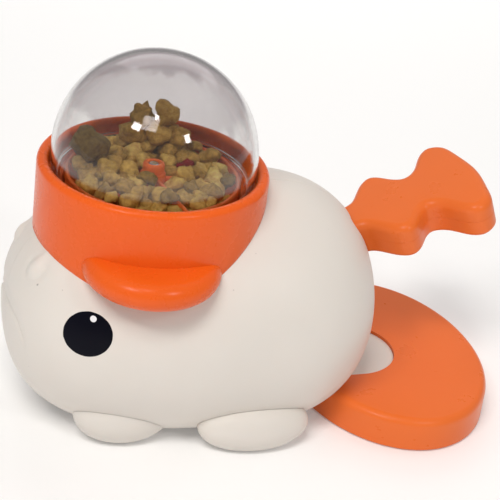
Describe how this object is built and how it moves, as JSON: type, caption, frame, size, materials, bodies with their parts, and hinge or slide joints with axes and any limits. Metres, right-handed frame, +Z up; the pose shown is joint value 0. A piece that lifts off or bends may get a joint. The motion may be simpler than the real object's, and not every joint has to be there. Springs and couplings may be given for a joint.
{
  "type": "push button treat dispenser",
  "caption": "Egg-bodied animal treat dispenser: pressing the tail indexes a compartment turntable under a clear dome and drops treats down a chute to the plate behind.",
  "frame": {"origin": "middle of the footprint's length and width, on the floor", "axes": "+X along the length from the face to the tail, +Y to the animal's right side, +Z up"},
  "size_m": [0.287, 0.164, 0.207],
  "materials": {
    "white_plastic": "gloss moulded",
    "orange_plastic": "gloss moulded",
    "eye_inlay": "gloss",
    "clear_plastic": "clear polished",
    "grey_plastic": "satin",
    "steel": "bright",
    "rubber": "matt"
  },
  "bodies": {
    "body": {"left_shell": "white_plastic", "right_shell": "white_plastic", "left_eye": "eye_inlay", "right_eye": "eye_inlay", "base_plate": "white_plastic", "front_left_paw": "white_plastic", "front_right_paw": "white_plastic", "rear_left_paw": "white_plastic", "rear_right_paw": "white_plastic", "paw_pads": "rubber", "hat_ring": "orange_plastic", "left_ear": "orange_plastic", "right_ear": "orange_plastic", "hopper_bowl": "orange_plastic", "upper_bush": "grey_plastic", "foot_bush": "grey_plastic", "tail_pin": "steel", "pin_clips": "steel", "left_bracket": "white_plastic", "right_bracket": "white_plastic", "return_spring": "steel", "chute": "white_plastic", "foot_plate": "orange_plastic", "plate_pads": "rubber", "shell_screws": "steel", "base_screws": "steel", "paw_screws": "steel", "hat_screws": "steel", "bowl_screws": "steel", "ear_screws": "steel", "bracket_screws": "steel", "chute_screws": "steel", "plate_screws": "steel"},
    "turntable": {"turntable": "orange_plastic", "turntable_rim": "orange_plastic", "hub_screw": "steel", "shaft": "steel", "ratchet_wheel": "grey_plastic"},
    "carrier": {"pawl_carrier": "white_plastic"},
    "drive_pawl": {"drive_pawl": "orange_plastic", "drive_pawl_spring": "steel"},
    "stop_pawl": {"stop_pawl": "orange_plastic", "stop_pawl_spring": "steel"},
    "rod": {"pull_rod": "white_plastic"},
    "tail": {"tail_lever": "grey_plastic", "tail_upper": "orange_plastic", "tail_lower": "orange_plastic", "tail_screws": "steel"},
    "dome": {"dome": "clear_plastic"}
  },
  "joints": [
    {"name": "tail_press", "type": "hinge", "parent": "body", "child": "tail", "pos_m": [0.03205, 0, 0.094], "axis": [0, 1, 0], "range_deg": [0, 18], "stiffness_Nm_per_rad": 0.8, "springref_deg": -8.59, "deforming": ["return_spring"]},
    {"name": "turntable_spin", "type": "hinge", "parent": "body", "child": "turntable", "pos_m": [-0.06795, 0, 0], "axis": [0, 0, 1], "range_deg": [-60.01, 0]},
    {"name": "carrier_swing", "type": "hinge", "parent": "body", "child": "carrier", "pos_m": [-0.06795, 0, 0], "axis": [0, 0, 1], "range_deg": [-60.01, 0]},
    {"name": "rod_slide", "type": "slide", "parent": "body", "child": "rod", "axis": [-1, 0, 0], "range_m": [0, 0.01951]},
    {"name": "stop_pawl_lift", "type": "hinge", "parent": "body", "child": "stop_pawl", "pos_m": [-0.08641, -0.00987, 0], "axis": [0, 0, 1], "range_deg": [0, 20.01]},
    {"name": "drive_pawl_lift", "type": "hinge", "parent": "carrier", "child": "drive_pawl", "pos_m": [-0.06726, 0.02092, 0], "axis": [0, 0, 1], "range_deg": [0, 20], "stiffness_Nm_per_rad": 0.002, "springref_deg": -28.65},
    {"name": "dome_lift", "type": "slide", "parent": "body", "child": "dome", "axis": [0, 0, 1], "range_m": [0, 0.07]}
  ],
  "couplings": [
    {"joint": "turntable_spin", "follows": "tail_press", "ratio": -3.3333},
    {"joint": "carrier_swing", "follows": "tail_press", "ratio": -3.3333},
    {"joint": "rod_slide", "follows": "tail_press", "m_per_rad": 0.06207},
    {"joint": "stop_pawl_lift", "follows": "tail_press", "ratio": 1.1111}
  ]
}
